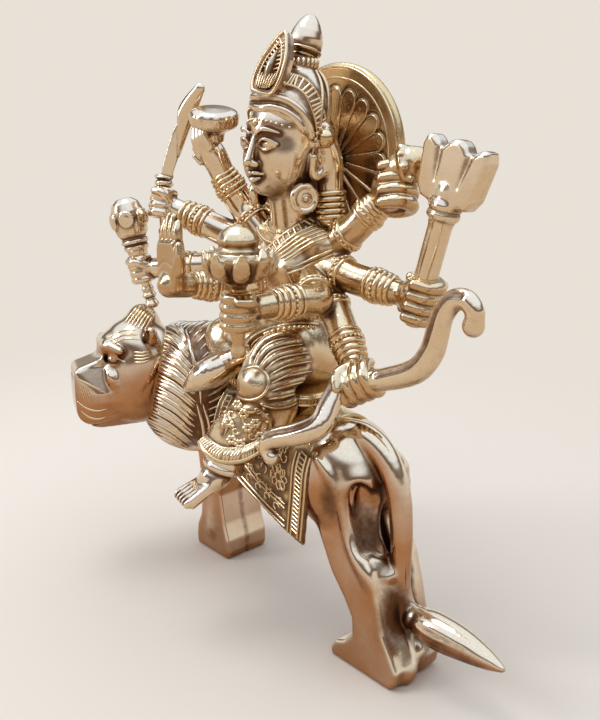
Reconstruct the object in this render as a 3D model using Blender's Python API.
"""An eight-armed goddess riding a lion: a cast and brazed brass figurine, built from its separate pieces.

Sizes are millimetres, turned into metres by MM. The lion stands along X with its head at -X, the goddess
faces -Y, +Z is up and the paws stand on z = 0. OUTLINE_MIDDLE brings the middle of the outline to x = y = 0.
"""
import math

import bmesh
import bpy
from mathutils import Matrix, Vector

MM = 0.001
GAP = 0.3  # clearance between pieces that touch on the real casting

# Lion
LION_Y = -4.0  # middle of the lion under the saddle
LION_SKEW = -0.11  # how far the lion's middle runs sideways for each unit of length
BACK_Z = 57.0  # top of the lion's back
BODY_HALF_WIDTH = 11.5
BODY_HALF_HEIGHT = 13.5
HAUNCH_HALF_WIDTH = 12.0
CHEST_X = -38.0
RUMP_X = 42.0
FRONT_LEG_X = -24.0
FRONT_LEG_OFFSET = 4.1  # each front leg's middle from the lion's middle plane
FRONT_LEG_HALF_WIDTH = 3.7
HIND_FOOT_X = 45.0
HIND_LEG_OFFSET = 4.6
HIND_LEG_HALF_WIDTH = 4.3
HEAD_CENTRE = (-42.0, -20.0, 59.5)
HEAD_RADIUS = 12.0
MUZZLE_LENGTH = 18.0
TAIL_RADIUS = 2.6
TUFT_LENGTH = 24.0

# Saddle
CLOTH_FRONT_X = -15.0
CLOTH_REAR_X = 26.5
CLOTH_THICKNESS = 1.0
CLOTH_DROP = 33.0  # from the lion's back down to the cloth's rear corner
CLOTH_FRONT_DROP = 20.0
PAD_HALF_LENGTH = 17.0
PAD_HALF_WIDTH = 10.5
PAD_THICKNESS = 2.2
STUD_RADIUS = 1.6
STUD_GRIP = 7.0  # length of the stud inside the lap
NUT_HEIGHT = 2.6
NUT_RADIUS = 3.4

# Goddess, measured from her seat
SEAT_X = 1.0
SEAT_Y = 1.0
HIP_HEIGHT = 14.5  # top of the lap above the seat
WAIST_HALF_WIDTH = 8.6
CHEST_HALF_WIDTH = 13.6
CHEST_HALF_DEPTH = 8.6
SHOULDER_HEIGHT = 37.5
NECK_RADIUS = 4.9
NECK_HEIGHT = 42.0
FACE_HEIGHT = 24.0
HEAD_HALF_WIDTH = 8.0
CROWN_HEIGHT = 12.0
CROWN_LEAN = 0.2  # how far the crown leans back for each unit of height
FINIAL_HEIGHT = 13.0
HALO_RADIUS = 23.0
HALO_THICKNESS = 2.6
HALO_Y = 13.0
HALO_HEIGHT = 57.5
HALO_PIN_RADIUS = 1.7
ARM_RADIUS = 4.1
SHAFT_RADIUS = 2.9  # trident shaft
DISCUS_RADIUS = 6.2
BOW_RADIUS = 2.3

POLISHED = (0.86, 0.70, 0.46, 0.16)
SATIN = (0.80, 0.63, 0.36, 0.32)
CAST = (0.74, 0.58, 0.30, 0.42)

OUTLINE_MIDDLE = (12.4, -11.65)

SIDES = 14
SHAPES = {}  # every piece's shape and place, kept for cutting its neighbours back
CLOSE_CUTS = ("arm_left_bow", "arm_right_mace", "arm_right_open", "arm_right_sword", "hind_leg_far",
              "hind_leg_near", "left_thigh")


def plus(*vectors):
    """Sum of points or vectors given as tuples."""
    return tuple(sum(axis) for axis in zip(*vectors))


def signed_power(value, power):
    return math.copysign(abs(value) ** power, value)


def domed(sections):
    """The sections with a rounded end added before the first and after the last."""
    def dome(end, inner):
        centre = Vector(end[:3])
        outward = (centre - Vector(inner[:3])).normalized()
        radius = min(end[3], end[4])
        rings = []
        for angle in (35.0, 65.0):
            turn = math.radians(angle)
            place = centre + outward * radius * math.sin(turn)
            rings.append((*place, end[3] * math.cos(turn), end[4] * math.cos(turn)))
        return rings
    return dome(sections[0], sections[1])[::-1] + list(sections) + dome(sections[-1], sections[-2])


def loft(sections, up=(0, 0, 1), sides=SIDES, square=2.0, rounded=True):
    """A closed skin through elliptical sections (x, y, z, half width, half height along up)."""
    rows = domed(sections) if rounded else list(sections)

    def build(grow):
        bm = bmesh.new()
        rings = []
        last = len(rows) - 1
        for index, (x, y, z, across, along) in enumerate(rows):
            before = Vector(rows[max(index - 1, 0)][:3])
            after = Vector(rows[min(index + 1, last)][:3])
            tangent = (after - before).normalized()
            side = Vector(up).cross(tangent).normalized()
            rise = tangent.cross(side)
            centre = Vector((x, y, z))
            if index == 0:
                centre -= tangent * grow
            if index == last:
                centre += tangent * grow
            ring = []
            for step in range(sides):
                turn = 2 * math.pi * (step + 0.5) / sides
                across_part = signed_power(math.cos(turn), 2 / square) * (across + grow)
                along_part = signed_power(math.sin(turn), 2 / square) * (along + grow)
                ring.append(bm.verts.new((centre + side * across_part + rise * along_part) * MM))
            rings.append(ring)
        for lower, upper in zip(rings, rings[1:]):
            for step in range(sides):
                following = (step + 1) % sides
                bm.faces.new((lower[step], lower[following], upper[following], upper[step]))
        bm.faces.new(rings[0])
        bm.faces.new(rings[-1])
        return bm
    return build


def turned(profile, sides=SIDES):
    """A turned piece: profile rows of (radius, height) from the bottom up, about local Z."""
    rows = [(0, 0, height, radius, radius) for radius, height in profile]
    return loft(rows, up=(0, 1, 0), sides=sides, rounded=False)


def plate(outline, thickness):
    """A flat plate: a convex-cornered outline in local X and Y, extruded both ways along Z."""
    def build(grow):
        bm = bmesh.new()
        count = len(outline)
        corners = []
        for index in range(count):
            here = Vector(outline[index])
            into = (here - Vector(outline[index - 1])).normalized()
            out = (Vector(outline[(index + 1) % count]) - here).normalized()
            normal = Vector((into.y + out.y, -into.x - out.x)).normalized()
            spread = max(0.5, normal.dot(Vector((into.y, -into.x))))
            corners.append(here + normal * grow / spread)
        half = thickness / 2 + grow
        low = [bm.verts.new((c.x * MM, c.y * MM, -half * MM)) for c in corners]
        face = bm.faces.new(low)
        lifted = bmesh.ops.extrude_face_region(bm, geom=[face])
        top = [item for item in lifted["geom"] if isinstance(item, bmesh.types.BMVert)]
        bmesh.ops.translate(bm, verts=top, vec=(0, 0, 2 * half * MM))
        return bm
    return build


def block(size):
    """A box of the full size given, centred on its place."""
    length, width, height = size
    far_x = length / 2
    far_y = width / 2
    return plate([(-far_x, -far_y), (far_x, -far_y), (far_x, far_y), (-far_x, far_y)], height)


def make_object(name, shape, matrix, grow=0.0):
    bm = shape(grow)
    bmesh.ops.recalc_face_normals(bm, faces=bm.faces)
    mesh = bpy.data.meshes.new(name)
    bm.to_mesh(mesh)
    bm.free()
    mesh.shade_smooth()
    mesh.set_sharp_from_angle(angle=math.radians(38))
    piece = bpy.data.objects.new(name, mesh)
    bpy.context.collection.objects.link(piece)
    piece.matrix_world = matrix
    return piece


def placement(origin, axis, spin):
    turn = Vector((0, 0, 1)).rotation_difference(Vector(axis)).to_matrix().to_4x4()
    return Matrix.Translation(Vector(origin) * MM) @ turn @ Matrix.Rotation(math.radians(spin), 4, "Z")


def add(name, shape, finish, origin=(0, 0, 0), axis=(0, 0, 1), spin=0.0, parent=None):
    """Make one piece of the figurine, with its own brass, and remember its shape for cutting others."""
    matrix = placement(origin, axis, spin)
    piece = make_object(name, shape, matrix)
    material = bpy.data.materials.new(name + "_brass")
    material.use_nodes = True
    surface = material.node_tree.nodes["Principled BSDF"]
    surface.inputs["Base Color"].default_value = (*finish[:3], 1)
    surface.inputs["Roughness"].default_value = finish[3]
    surface.inputs["Metallic"].default_value = 1.0
    piece.data.materials.append(material)
    piece.parent = parent
    SHAPES[name] = (shape, matrix)
    return piece


def boolean(piece, shape, matrix, grow, operation):
    cutter = make_object(piece.name + "_cutter", shape, matrix, grow)
    cutter.parent = piece.parent
    cutter.hide_render = True
    cutter.display_type = "WIRE"
    modifier = piece.modifiers.new(operation.lower(), "BOOLEAN")
    modifier.operation = operation
    modifier.solver = "MANIFOLD" if piece.name in CLOSE_CUTS else "EXACT"
    modifier.object = cutter


def clear(piece, *names):
    """Cut the piece back by GAP from each named piece that it meets."""
    for name in names:
        shape, matrix = SHAPES[name]
        boolean(piece, shape, matrix, GAP, "DIFFERENCE")


def shell(name, over, thickness, slab, finish, origin, axis=(0, 0, 1), parent=None):
    """A band of even thickness worn over another piece, where the slab meets it."""
    matrix = placement(origin, axis, 0.0)
    piece = add(name, slab, finish, origin, axis, parent=parent)
    shape, place = SHAPES[over]
    boolean(piece, shape, place, GAP + thickness, "INTERSECT")
    boolean(piece, shape, place, GAP, "DIFFERENCE")
    SHAPES[name] = (slab, matrix)
    return piece


def empty(name, parent=None):
    frame = bpy.data.objects.new(name, None)
    bpy.context.collection.objects.link(frame)
    frame.parent = parent
    return frame


def lion_middle(x):
    """The Y of the lion's middle at a distance along it; the casting stands a little askew."""
    return LION_Y + LION_SKEW * (x - SEAT_X)


def barrel_rows():
    """Sections of the lion's trunk from chest to rump; widest at the haunches."""
    wide = BODY_HALF_WIDTH
    tall = BODY_HALF_HEIGHT
    middle = BACK_Z - tall
    rows = [(CHEST_X - 4.5, 0.3 * wide, 0.36 * tall),
            (CHEST_X - 2.5, 0.6 * wide, 0.66 * tall),
            (CHEST_X + 3, 0.86 * wide, 0.9 * tall),
            (CHEST_X + 14, wide, tall),
            (0, wide, tall),
            (18, wide, tall),
            (RUMP_X - 9, HAUNCH_HALF_WIDTH, 0.98 * tall),
            (RUMP_X - 3, 0.86 * HAUNCH_HALF_WIDTH, 0.88 * tall),
            (RUMP_X, 0.6 * HAUNCH_HALF_WIDTH, 0.64 * tall),
            (RUMP_X + 1.4, 0.26 * HAUNCH_HALF_WIDTH, 0.3 * tall)]
    return [(x, lion_middle(x), middle, half_width, half_height) for x, half_width, half_height in rows]


def make_lion(lion):
    add("lion_body", loft(barrel_rows(), sides=20, rounded=False), POLISHED, parent=lion)

    make_legs(lion)
    make_lion_head(lion)

    path = [(-6.0, BACK_Z - 7.0), (-2.0, BACK_Z - 5.2), (2.0, BACK_Z - 8.0), (5.0, BACK_Z - 14.0),
            (6.8, 35), (7.0, 28), (7.4, 21), (9.6, 15.5)]
    middle = lion_middle(RUMP_X)
    rows = [(RUMP_X + out, middle, height, TAIL_RADIUS, TAIL_RADIUS) for out, height in path]
    tail = add("lion_tail", loft(rows, up=(0, 1, 0), sides=10), POLISHED, parent=lion)
    clear(tail, "lion_body")

    start = RUMP_X + 11.5
    rows = [(start, middle, 15.2, 2.8, 3.0),
            (start + 0.25 * TUFT_LENGTH, middle, 15.0, 3.8, 4.4),
            (start + 0.6 * TUFT_LENGTH, middle + 0.3, 15.0, 3.4, 3.8),
            (start + TUFT_LENGTH, middle + 0.6, 14.0, 1.1, 1.2)]
    tuft = add("tail_tuft", loft(rows, sides=12), POLISHED, parent=lion)
    clear(tuft, "lion_tail", "hind_leg_far")
    clear(tail, "hind_leg_near", "hind_leg_far")


def make_legs(lion):
    """Each leg is one casting that ends in a flat sole; near legs stand on the -Y side."""
    belly = BACK_Z - 2 * BODY_HALF_HEIGHT
    for label, way in (("near", -1), ("far", 1)):
        y = lion_middle(FRONT_LEG_X) + way * FRONT_LEG_OFFSET
        half = FRONT_LEG_HALF_WIDTH
        x = FRONT_LEG_X
        rows = [(x, y, 0, 5.2, 0.8 * half),
                (x, y, 1.2, 7.0, half),
                (x, y, 6, 7.3, half),
                (x - 0.4, y, 11, 5.8, half),
                (x - 1.0, y, 20, 4.6, half),
                (x - 2.0, y, belly + 6, 6.0, half)]
        shape = loft(rows, up=(0, 1, 0), square=2.6, rounded=False)
        leg = add("front_leg_" + label, shape, POLISHED, parent=lion)
        clear(leg, "lion_body")

        x = HIND_FOOT_X
        foot = lion_middle(x) + way * HIND_LEG_OFFSET
        hip = lion_middle(x - 15.0) + way * (HIND_LEG_OFFSET + 0.5)
        half = HIND_LEG_HALF_WIDTH
        rows = [(x, foot, 0, 9.8, 0.9 * half),
                (x, foot, 1.2, 10.8, half),
                (x + 0.2, foot, 4.5, 10.0, half),
                (x + 0.2, foot, 7.5, 6.8, 0.95 * half),
                (x - 0.8, foot, 11, 5.0, 0.9 * half),
                (x - 5.0, 0.7 * foot + 0.3 * hip, 18, 6.2, 0.95 * half),
                (x - 10.5, 0.3 * foot + 0.7 * hip, 25, 7.0, half),
                (x - 15.0, hip, belly + 4, 8.2, 1.12 * half),
                (x - 15.0, hip, belly + 14, 7.4, 1.12 * half)]
        shape = loft(rows, up=(0, 1, 0), sides=16, square=3.4, rounded=False)
        leg = add("hind_leg_" + label, shape, POLISHED, parent=lion)
        clear(leg, "lion_body")
    clear(bpy.data.objects["hind_leg_far"], "hind_leg_near")


def make_lion_head(lion):
    """The head is turned to face -Y; the mane rings the neck between it and the trunk."""
    x, y, z = HEAD_CENTRE
    size = HEAD_RADIUS
    rows = [(x, y + 0.7 * size, z, 0.75 * size, 0.8 * size),
            (x, y + 0.2 * size, z + 0.5, 0.96 * size, size),
            (x, y - 0.35 * size, z, 0.92 * size, size),
            (x, y - 0.8 * size, z - 4.0, 0.72 * size, 0.82 * size),
            (x, y - MUZZLE_LENGTH + 2.0, z - 6.5, 0.62 * size, 0.76 * size),
            (x, y - MUZZLE_LENGTH, z - 7.0, 0.52 * size, 0.64 * size)]
    head = add("lion_head", loft(rows, up=(0, 0, 1), square=2.6, rounded=False), POLISHED, parent=lion)

    rows = [(x + 14, lion_middle(x + 14), z - 12, 9.5, 14.0),
            (x + 9, y + 12, z - 10.8, 12.0, 18.0),
            (x + 4, y + 8, z - 9, 13.0, 19.5),
            (x + 0.5, y + 2.5, z - 4.0, 12.2, 15.5)]
    mane = add("lion_mane", loft(rows, up=(0, 0, 1), sides=18, rounded=False), SATIN, parent=lion)
    clear(mane, "lion_head")
    clear(bpy.data.objects["lion_body"], "lion_mane")
    for label in ("near", "far"):
        clear(bpy.data.objects["front_leg_" + label], "lion_mane")

    rows = [(x - 0.5, y + 1, z + size - 2, 3.6, 3.2),
            (x - 1.5, y - 0.5, z + size + 3, 3.4, 2.8),
            (x - 2.0, y - 1, z + size + 5.5, 1.8, 1.5)]
    lock = add("lion_forelock", loft(rows, up=(0, 1, 0), sides=10), SATIN, parent=lion)
    clear(lock, "lion_head", "lion_mane")
    for label, way in (("left", 1), ("right", -1)):
        rows = [(x + way * 0.62 * size, y + 0.5, z + 0.7 * size, 2.4, 2.0),
                (x + way * 0.78 * size, y + 0.2, z + 1.02 * size, 2.6, 1.6),
                (x + way * 0.84 * size, y, z + 1.25 * size, 1.2, 0.8)]
        ear = add("lion_ear_" + label, loft(rows, up=(0, 1, 0), sides=10), POLISHED, parent=lion)
        clear(ear, "lion_head", "lion_mane", "lion_forelock")


def cloth_shape():
    """The saddle cloth: over the back it follows the trunk, then both flaps hang straight down."""
    def build(grow):
        bm = bmesh.new()
        inner = BODY_HALF_WIDTH + GAP - grow
        outer = BODY_HALF_WIDTH + GAP + CLOTH_THICKNESS + grow
        middle = BACK_Z - BODY_HALF_HEIGHT
        columns = []
        stations = 6
        for station in range(stations + 1):
            share = station / stations
            x = CLOTH_FRONT_X - grow + share * (CLOTH_REAR_X - CLOTH_FRONT_X + 2 * grow)
            drop = CLOTH_FRONT_DROP + min(1.0, share * 1.25) * (CLOTH_DROP - CLOTH_FRONT_DROP)
            hem = BACK_Z - drop - grow
            column = []
            for half_width, side in ((outer, 1), (inner, -1)):
                half_height = half_width - BODY_HALF_WIDTH + BODY_HALF_HEIGHT
                points = [(half_width, hem)]
                for step in range(13):
                    turn = math.pi * step / 12
                    points.append((half_width * math.cos(turn), middle + half_height * math.sin(turn)))
                points.append((-half_width, hem))
                for across, height in points[::side]:
                    column.append(bm.verts.new((x * MM, (lion_middle(x) + across) * MM, height * MM)))
            columns.append(column)
        count = len(columns[0])
        for back, front in zip(columns, columns[1:]):
            for step in range(count):
                following = (step + 1) % count
                bm.faces.new((back[step], back[following], front[following], front[step]))
        bm.faces.new(columns[0])
        bm.faces.new(columns[-1])
        return bm
    return build


def make_saddle(saddle):
    cloth = add("saddle_cloth", cloth_shape(), CAST, parent=saddle)
    clear(cloth, "lion_body")
    for label in ("near", "far"):
        clear(bpy.data.objects["hind_leg_" + label], "saddle_cloth")

    top = BACK_Z + GAP + CLOTH_THICKNESS + GAP + PAD_THICKNESS
    rows = [(SEAT_X, LION_Y + 1.0, top - PAD_THICKNESS - 1.6, PAD_HALF_LENGTH - 1.5, PAD_HALF_WIDTH - 1.0),
            (SEAT_X, LION_Y + 1.0, top - 0.8, PAD_HALF_LENGTH, PAD_HALF_WIDTH),
            (SEAT_X, LION_Y + 1.0, top, PAD_HALF_LENGTH - 0.8, PAD_HALF_WIDTH - 0.8)]
    shape = loft(rows, up=(0, 1, 0), sides=20, square=3.2, rounded=False)
    pad = add("saddle_pad", shape, CAST, parent=saddle)
    clear(pad, "saddle_cloth")

    seat_top = top + GAP
    belly = BACK_Z - 2 * BODY_HALF_HEIGHT
    nut_place = (SEAT_X, LION_Y, belly - GAP - NUT_HEIGHT)
    stud_place = plus(nut_place, (0, 0, -1.0))
    stud_length = seat_top + STUD_GRIP - stud_place[2]
    shape = turned([(STUD_RADIUS, 0), (STUD_RADIUS, stud_length)], sides=12)
    add("fixing_stud", shape, CAST, stud_place, parent=saddle)
    shape = turned([(NUT_RADIUS, 0), (NUT_RADIUS, NUT_HEIGHT)], sides=6)
    nut = add("fixing_nut", shape, CAST, nut_place, parent=saddle)
    for name in ("lion_body", "saddle_cloth", "saddle_pad"):
        clear(bpy.data.objects[name], "fixing_stud")
    clear(nut, "fixing_stud")
    return (SEAT_X, SEAT_Y, seat_top)


def make_lower_body(goddess, seat):
    """She sits sideways: the left leg hangs to the foot, the right one is folded across."""
    def at(x, y, z, across, along):
        return (*plus(seat, (x, y, z)), across, along)

    rows = [at(0, 0, 0, 11.5, 9.0), at(0, 0, 2.5, 13.0, 10.0), at(0, 0, 6, 12.6, 9.6),
            at(0, -0.3, 10.5, 10.6, 8.4), at(0, -0.3, HIP_HEIGHT, WAIST_HALF_WIDTH + 0.4, 7.0)]
    lap = add("lap", loft(rows, up=(0, 1, 0), sides=18, rounded=False), SATIN, parent=goddess)
    clear(lap, "fixing_stud")

    rows = [at(4.5, -3, 6.6, 8.0, 7.2), at(7.0, -11, 7.0, 7.8, 7.8), at(8.5, -17.5, 4.8, 6.8, 6.8),
            at(9.0, -21.0, 3.0, 5.6, 5.6)]
    thigh = add("left_thigh", loft(rows, sides=14), SATIN, parent=goddess)
    clear(thigh, "lap", "saddle_pad", "saddle_cloth", "lion_body")

    rows = [at(8.6, -22.0, -1.0, 6.4, 5.0), at(7.0, -23.6, -6.0, 7.0, 5.0), at(5.0, -25.6, -12.5, 8.0, 5.2),
            at(4.2, -26.4, -15.5, 8.2, 5.2)]
    shin = add("left_shin", loft(rows, up=(0, 1, 0), sides=14, rounded=False), CAST, parent=goddess)
    clear(shin, "left_thigh", "saddle_cloth")

    ankle = plus(seat, (3.0, -27.4, -15.7 - GAP))
    shape = turned([(3.6, -5.2), (4.6, -4.6), (4.8, -3.2), (4.0, -2.6), (4.6, -2.0), (4.8, -0.8), (4.2, 0)])
    add("anklet", shape, SATIN, ankle, axis=(0.15, 0.32, 1), parent=goddess)
    rows = [at(2.2, -29.6, -21.8, 3.6, 2.6), at(1.2, -32.6, -23.4, 4.0, 2.2), at(0.2, -35.6, -25.0, 4.2, 1.5)]
    foot = add("left_foot", loft(rows, up=(0, 0, 1), sides=12, square=2.8), POLISHED, parent=goddess)
    clear(foot, "anklet")

    rows = [at(-6.5, -1.5, 6.0, 7.4, 7.0), at(-13.5, -4.5, 8.0, 6.2, 6.2), at(-20.0, -8.0, 7.8, 5.2, 5.2)]
    thigh = add("right_thigh", loft(rows, sides=14), CAST, parent=goddess)
    clear(thigh, "lap", "saddle_pad", "saddle_cloth", "lion_body", "left_thigh", "lion_mane")

    rows = [at(-14.5, -9.0, 3.5, 4.2, 3.6), at(-11.0, -15.5, 2.8, 4.4, 3.2), at(-13.0, -19.5, 0.6, 4.0, 2.4),
            at(-15.5, -22.5, -2.2, 2.2, 1.2)]
    foot = add("right_foot", loft(rows, sides=12), POLISHED, parent=goddess)
    clear(foot, "right_thigh", "left_thigh", "saddle_pad", "saddle_cloth", "lion_mane", "left_shin")


def make_torso(goddess, seat):
    def at(y, z, across, along):
        return (*plus(seat, (-1.0, y, z)), across, along)

    low = HIP_HEIGHT + GAP
    rows = [at(-0.3, low, WAIST_HALF_WIDTH, 6.6),
            at(-0.3, low + 5, WAIST_HALF_WIDTH + 0.2, 6.8),
            at(-0.8, low + 10, 0.84 * CHEST_HALF_WIDTH, 0.92 * CHEST_HALF_DEPTH),
            at(-1.4, low + 15, CHEST_HALF_WIDTH, CHEST_HALF_DEPTH),
            at(-1.0, SHOULDER_HEIGHT - 4, CHEST_HALF_WIDTH, 0.9 * CHEST_HALF_DEPTH),
            at(-0.8, SHOULDER_HEIGHT, 0.8 * CHEST_HALF_WIDTH, 0.7 * CHEST_HALF_DEPTH),
            at(-1.4, NECK_HEIGHT - 2.5, NECK_RADIUS + 1.6, NECK_RADIUS + 0.6),
            at(-1.4, NECK_HEIGHT - 0.5, NECK_RADIUS, NECK_RADIUS),
            at(-1.4, NECK_HEIGHT, NECK_RADIUS, NECK_RADIUS)]
    add("torso", loft(rows, up=(0, 1, 0), sides=18, rounded=False), SATIN, parent=goddess)
    middle = plus(seat, (-1.0, 0, 0))
    place = plus(middle, (0, 0, low + 2.2))
    shell("belt", "torso", 1.3, block((40, 40, 2.8)), CAST, place, parent=goddess)
    place = plus(middle, (0, -20.8, SHOULDER_HEIGHT + 0.2))
    shell("necklace", "torso", 1.0, block((14, 40, 2.4)), CAST, place, parent=goddess)
    place = plus(middle, (1.2, -13.5, low + 13.5))
    slab = block((6, 24, 19))
    sash = shell("sari_sash", "torso", 1.0, slab, SATIN, place, axis=(0.5, 0, 1), parent=goddess)
    clear(sash, "necklace")


def make_head(goddess, seat):
    def at(y, z, across, along):
        return (*plus(seat, (-1.0, y, z)), across, along)

    low = NECK_HEIGHT + GAP
    top = low + FACE_HEIGHT
    wide = HEAD_HALF_WIDTH
    rows = [at(-1.4, low, NECK_RADIUS, NECK_RADIUS),
            at(-1.4, low + 1.8, NECK_RADIUS, NECK_RADIUS),
            at(-2.4, low + 4.0, 0.96 * NECK_RADIUS, NECK_RADIUS),
            at(-4.4, low + 6.4, 0.66 * wide, 0.84 * wide),
            at(-4.2, low + 10, 0.86 * wide, 1.06 * wide),
            at(-3.6, low + 16, wide, 1.16 * wide),
            at(-3.4, low + 20, wide, 1.16 * wide),
            at(-3.2, top, 0.94 * wide, 1.08 * wide)]
    head = add("head", loft(rows, up=(0, 1, 0), sides=18, rounded=False), SATIN, parent=goddess)

    base = plus(seat, (-1.0, -2.8, top + GAP))
    profile = [(wide + 0.6, 0), (wide + 1.5, 1.5), (wide + 0.9, 3.2), (0.8 * wide, 0.66 * CROWN_HEIGHT),
               (0.52 * wide, CROWN_HEIGHT)]
    add("crown", turned(profile, sides=20), CAST, base, axis=(0, CROWN_LEAN, 1), parent=goddess)
    clear(head, "crown")
    tip = plus(base, (0, CROWN_LEAN * CROWN_HEIGHT, CROWN_HEIGHT + GAP + 0.1))
    profile = [(3.4, 0), (3.9, 0.06), (3.9, 0.28), (2.7, 0.34), (2.7, 0.4), (4.3, 0.46), (4.4, 0.6),
               (3.5, 0.78), (2.0, 0.93), (0.9, 1.0)]
    profile = [(radius, share * FINIAL_HEIGHT) for radius, share in profile]
    add("crown_finial", turned(profile), POLISHED, tip, axis=(0, CROWN_LEAN, 1), parent=goddess)

    outline = [(0, -0.8), (3.8, 0.4), (5.2, 3.6), (4.5, 7.4), (2.2, 11.2), (0.6, 13.8), (-0.6, 13.8),
               (-2.2, 11.2), (-4.5, 7.4), (-5.2, 3.6), (-3.8, 0.4)]
    leaf_place = plus(base, (0, -wide - 1.2, 3.6))
    leaf = add("crown_leaf", plate(outline, 2.4), CAST, leaf_place, axis=(0, -1, 0.34), parent=goddess)
    clear(leaf, "crown", "crown_finial", "head")

    for label, way in (("left", 1), ("right", -1)):
        side = plus(seat, (-1.0 + way * (0.7 * wide + 1.2), -1.0, low + 3.4))
        ring = turned([(2.6, 0), (3.5, 0.5), (3.5, 1.9), (1.9, 2.3), (1.4, 3.0)])
        earring = add("earring_" + label, ring, POLISHED, side, axis=(way, -0.25, 0), parent=goddess)
        clear(earring, "head", "torso")
        rows = [(*plus(side, (way * 3.4, 4.6, -4.6)), 2.4, 2.4),
                (*plus(side, (way * 3.2, 4.4, 1.6)), 2.3, 2.2)]
        curls = add("side_lock_" + label, loft(rows, up=(0, 1, 0), sides=10), CAST, parent=goddess)
        clear(curls, "head", "torso", "earring_" + label, "crown")


def make_halo(goddess, seat):
    middle = plus(seat, (-1.0, HALO_Y, HALO_HEIGHT))
    profile = [(HALO_RADIUS - 0.8, 0), (HALO_RADIUS, 0.6), (HALO_RADIUS, HALO_THICKNESS)]
    halo = add("halo", turned(profile, sides=40), CAST, middle, axis=(0, 1, 0), parent=goddess)
    pin_height = SHOULDER_HEIGHT - 1.0
    start = plus(seat, (-1.0, 1.5, pin_height))
    pin = turned([(HALO_PIN_RADIUS, 0), (HALO_PIN_RADIUS, HALO_Y - 1.5 + 0.6 * HALO_THICKNESS)], sides=12)
    add("halo_pin", pin, CAST, start, axis=(0, 1, 0), parent=goddess)
    clear(bpy.data.objects["torso"], "halo_pin")
    clear(halo, "halo_pin")


def arm_rows(seat, shoulder, elbow, wrist, fist, fist_size, fist_height):
    """Upper arm, forearm with its stack of bangles, and the hand at the end."""
    radius = ARM_RADIUS
    points = [Vector(plus(seat, spot)) for spot in (shoulder, elbow, wrist, fist)]
    start, bend, cuff, hand = points
    rows = [(*start, 1.15 * radius, 1.15 * radius),
            (*start.lerp(bend, 0.55), 1.05 * radius, 1.05 * radius),
            (*bend, radius, radius),
            (*bend.lerp(cuff, 0.55), 0.92 * radius, 0.92 * radius)]
    for share, scale in ((0.66, 1.14), (0.8, 0.98), (0.92, 1.14), (1.05, 0.84)):
        rows.append((*bend.lerp(cuff, share), scale * radius, scale * radius))
    beyond = hand + (hand - cuff).normalized() * fist_size * 0.55
    rows.append((*hand.lerp(cuff, 0.35), 0.9 * fist_size, 0.9 * fist_height))
    rows.append((*hand, fist_size, fist_height))
    rows.append((*beyond, 0.7 * fist_size, 0.7 * fist_height))
    return rows


# Each arm: shoulder, elbow, wrist and hand measured from the seat, then the fist's half width and half
# height, and the direction its width is square to.
ARMS = {
    "arm_left_conch": ((11.5, 1.5, 36.0), (17.0, 3.0, 40.5), (21.5, 5.2, 46.0), (25.0, 6.8, 50.0),
                       4.8, 4.8, (0, 1, 0)),
    "arm_left_trident": ((10.0, -0.5, 31.0), (20.0, 0.2, 29.0), (30.0, 1.6, 27.6), (38.6, 2.8, 26.6),
                         5.2, 5.0, (0, 0, 1)),
    "arm_left_bow": ((12.5, -2.4, 24.0), (18.5, -3.4, 19.5), (26.5, -6.6, 12.2), (32.6, -10.0, 7.4),
                     4.8, 4.8, (0, 1, 0)),
    "arm_left_lotus": ((9.5, -4.0, 27.0), (17.0, -9.5, 24.5), (15.4, -20.5, 24.5), (13.6, -31.0, 24.0),
                       4.0, 6.0, (0, 0, 1)),
    "arm_right_discus": ((-12.0, -1.0, 36.0), (-18.5, -3.0, 43.0), (-22.0, -6.6, 50.5), (-24.0, -8.8, 56.6),
                         3.8, 4.0, (0, 1, 0)),
    "arm_right_sword": ((-12.0, -1.5, 33.0), (-22.5, -6.0, 36.0), (-32.5, -11.0, 40.0), (-39.6, -14.4, 42.8),
                        4.4, 4.6, (0, 0, 1)),
    "arm_right_mace": ((-11.0, -2.0, 27.5), (-22.5, -8.0, 27.0), (-35.5, -14.8, 25.5), (-44.0, -19.2, 24.5),
                       4.2, 4.4, (0, 0, 1)),
    "arm_right_open": ((-9.0, -4.0, 24.5), (-15.5, -9.0, 22.5), (-18.0, -18.5, 23.6), (-18.8, -23.0, 25.0),
                       3.6, 3.4, (0, 0, 1)),
}


def make_arms(goddess, seat):
    made = []
    for name, (shoulder, elbow, wrist, hand, size, height, up) in ARMS.items():
        rows = arm_rows(seat, shoulder, elbow, wrist, hand, size, height)
        arm = add(name, loft(rows, up=up, sides=12), SATIN, parent=goddess)
        clear(arm, "torso", *made)
        made.append(name)
    for side in ("left", "right"):
        clear(bpy.data.objects["side_lock_" + side], *[name for name in made if side in name][:2])
    clear(bpy.data.objects["sari_sash"], "arm_right_open")
    open_arm = bpy.data.objects["arm_right_open"]
    palm_place = plus(seat, ARMS["arm_right_open"][3], (-0.4, -3.6, 7.4))
    outline = [(-3.4, -9.0), (3.4, -9.0), (4.6, -3.0), (4.6, 4.0), (3.2, 9.6), (0, 11.0), (-3.2, 9.6),
               (-4.6, 4.0), (-4.6, -3.0)]
    add("open_palm", plate(outline, 4.0), SATIN, palm_place, axis=(-0.1, -1, 0.06), parent=goddess)
    clear(open_arm, "open_palm")


def towards(start, end):
    return (Vector(end) - Vector(start)).normalized()


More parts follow.
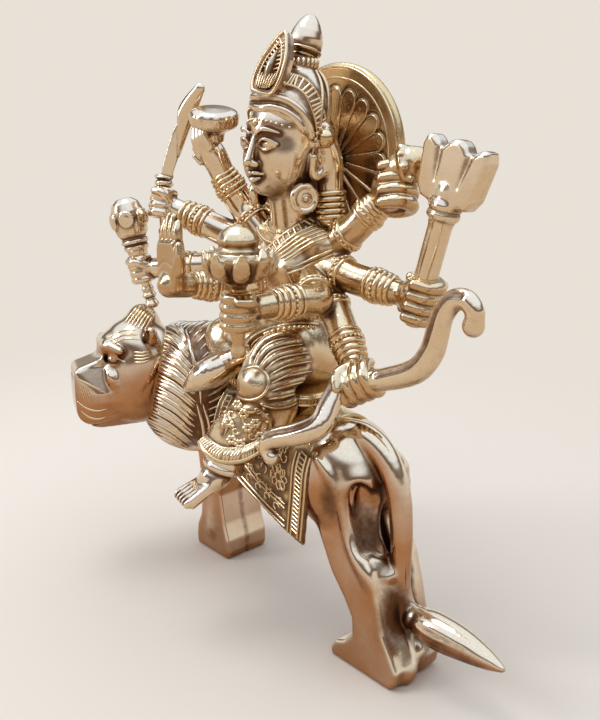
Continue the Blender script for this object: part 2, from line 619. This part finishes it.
def make_attributes(goddess, seat):
    """What the hands hold, each named for itself; a gripped shaft passes through its fist."""
    hand = {name: plus(seat, spots[3]) for name, spots in ARMS.items()}

    fist = hand["arm_left_trident"]
    foot = plus(fist, (-1.4, -0.2, -6.5))
    lean = towards((0, 0, 0), (6.0, 1.0, 26.0))
    top = 30.0
    profile = [(0.8 * SHAFT_RADIUS, 0), (SHAFT_RADIUS, 1.2), (SHAFT_RADIUS, top - 3.4),
               (1.25 * SHAFT_RADIUS, top - 3.0), (1.25 * SHAFT_RADIUS, top - 1.2), (SHAFT_RADIUS, top)]
    add("trident_shaft", turned(profile, sides=12), POLISHED, foot, axis=lean, parent=goddess)
    clear(bpy.data.objects["arm_left_trident"], "trident_shaft")
    outline = [(-5.0, 0), (5.0, 0), (7.4, 2.4), (7.9, 11.4), (6.6, 13.2), (5.0, 11.6), (4.4, 4.8), (2.8, 3.8),
               (1.9, 12.8), (0, 14.6), (-1.9, 12.8), (-2.8, 3.8), (-4.4, 4.8), (-5.0, 11.6), (-6.6, 13.2),
               (-7.9, 11.4), (-7.4, 2.4)]
    head_place = Vector(foot) + lean * (top + GAP)
    head = add("trident_head", plate(outline, 3.6), POLISHED, head_place, axis=(0, -1, 0.04), spin=-13,
               parent=goddess)
    clear(head, "trident_shaft")

    fist = hand["arm_right_mace"]
    foot = plus(fist, (2.2, 1.6, -11.5))
    profile = [(1.2, 0), (2.3, 1.0), (1.5, 2.6), (2.1, 3.8), (1.6, 5.2), (1.7, 8.0), (2.8, 19.5), (3.5, 20.4),
               (3.3, 21.4), (4.6, 23.4), (5.0, 26.0), (4.4, 29.0), (2.4, 31.2)]
    lean = towards((0, 0, 0), (-5.4, -3.8, 26.0))
    add("mace", turned(profile), POLISHED, foot, axis=lean, parent=goddess)
    for name in ("arm_right_mace", "lion_forelock"):
        clear(bpy.data.objects[name], "mace")

    fist = Vector(hand["arm_right_sword"])
    path = [(0.6, 0, -6.0, 1.7, 1.7), (0, 0, 0, 1.7, 1.7), (-0.4, 0.6, 5.0, 2.0, 1.8),
            (0.4, 1.6, 10.0, 1.9, 1.5), (2.2, 3.4, 19.0, 1.9, 1.4), (5.6, 5.6, 26.0, 1.5, 1.1),
            (8.8, 6.6, 30.0, 0.6, 0.5)]
    rows = [(*(fist + Vector(row[:3])), row[3], row[4]) for row in path]
    add("sword", loft(rows, up=(0, 1, 0), sides=10), POLISHED, parent=goddess)
    clear(bpy.data.objects["arm_right_sword"], "sword")

    finger = plus(hand["arm_right_discus"], (0, 0.2, 5.0))
    wide = DISCUS_RADIUS
    profile = [(2.0, 0), (2.2, 1.8), (wide - 0.8, 3.0), (wide, 4.2), (wide - 0.4, 6.2), (2.6, 7.4)]
    discus = add("discus", turned(profile, sides=18), POLISHED, finger, axis=(0.2, -0.15, 1), parent=goddess)
    clear(discus, "arm_right_discus")

    palm = plus(hand["arm_left_conch"], (-1.0, -1.6, 3.6))
    profile = [(1.2, 0), (3.0, 1.8), (4.4, 4.4), (4.6, 7.4), (3.4, 10.2), (1.6, 12.4)]
    conch = add("conch", turned(profile), SATIN, palm, axis=(1, 0.5, 0.5), parent=goddess)
    clear(conch, "arm_left_conch")

    fist = hand["arm_left_lotus"]
    profile = [(1.4, -11.0), (1.8, -9.6), (1.8, 6.4), (3.0, 8.6), (6.4, 11.2), (7.0, 14.0), (5.2, 16.0),
               (2.4, 18.4)]
    add("lotus", turned(profile), SATIN, fist, parent=goddess)
    clear(bpy.data.objects["arm_left_lotus"], "lotus")

    make_bow(goddess, hand["arm_left_bow"])


def make_bow(goddess, fist):
    thick = BOW_RADIUS
    path = [(30.0, -1.0, 24.3, 0.7), (28.2, -1.0, 26.4, 0.8), (23.6, -0.6, 24.4, 0.95), (21.3, -0.5, 18.6, 1),
            (20.4, -0.6, 12.8, 1.05), (16.6, -0.8, 6.8, 1), (8.0, -1.0, 2.6, 1), (0, -1.2, 0.4, 1),
            (-2.9, -4.0, -1.4, 1), (-3.0, -7.0, -5.2, 1.05), (-2.6, -10.2, -9.2, 1.05),
            (-6.2, -13.4, -11.4, 1), (-10.6, -15.2, -13.2, 0.9), (-13.0, -16.0, -16.6, 0.7)]
    rows = [(*plus(fist, spot[:3]), spot[3] * thick, spot[3] * thick) for spot in path]
    add("bow", loft(rows, up=(0.35, 1, 0.1), sides=10), POLISHED, parent=goddess)
    clear(bpy.data.objects["arm_left_bow"], "bow")
    for name in ("left_thigh", "left_shin", "lap"):
        clear(bpy.data.objects[name], "bow")


def main():
    for item in list(bpy.data.objects):
        bpy.data.objects.remove(item, do_unlink=True)
    statue = empty("statue")
    statue.location = (-OUTLINE_MIDDLE[0] * MM, -OUTLINE_MIDDLE[1] * MM, 0)
    make_lion(empty("lion", statue))
    seat = make_saddle(empty("saddle", statue))
    goddess = empty("goddess", statue)
    make_lower_body(goddess, seat)
    make_torso(goddess, seat)
    make_head(goddess, seat)
    make_halo(goddess, seat)
    make_arms(goddess, seat)
    make_attributes(goddess, seat)


main()
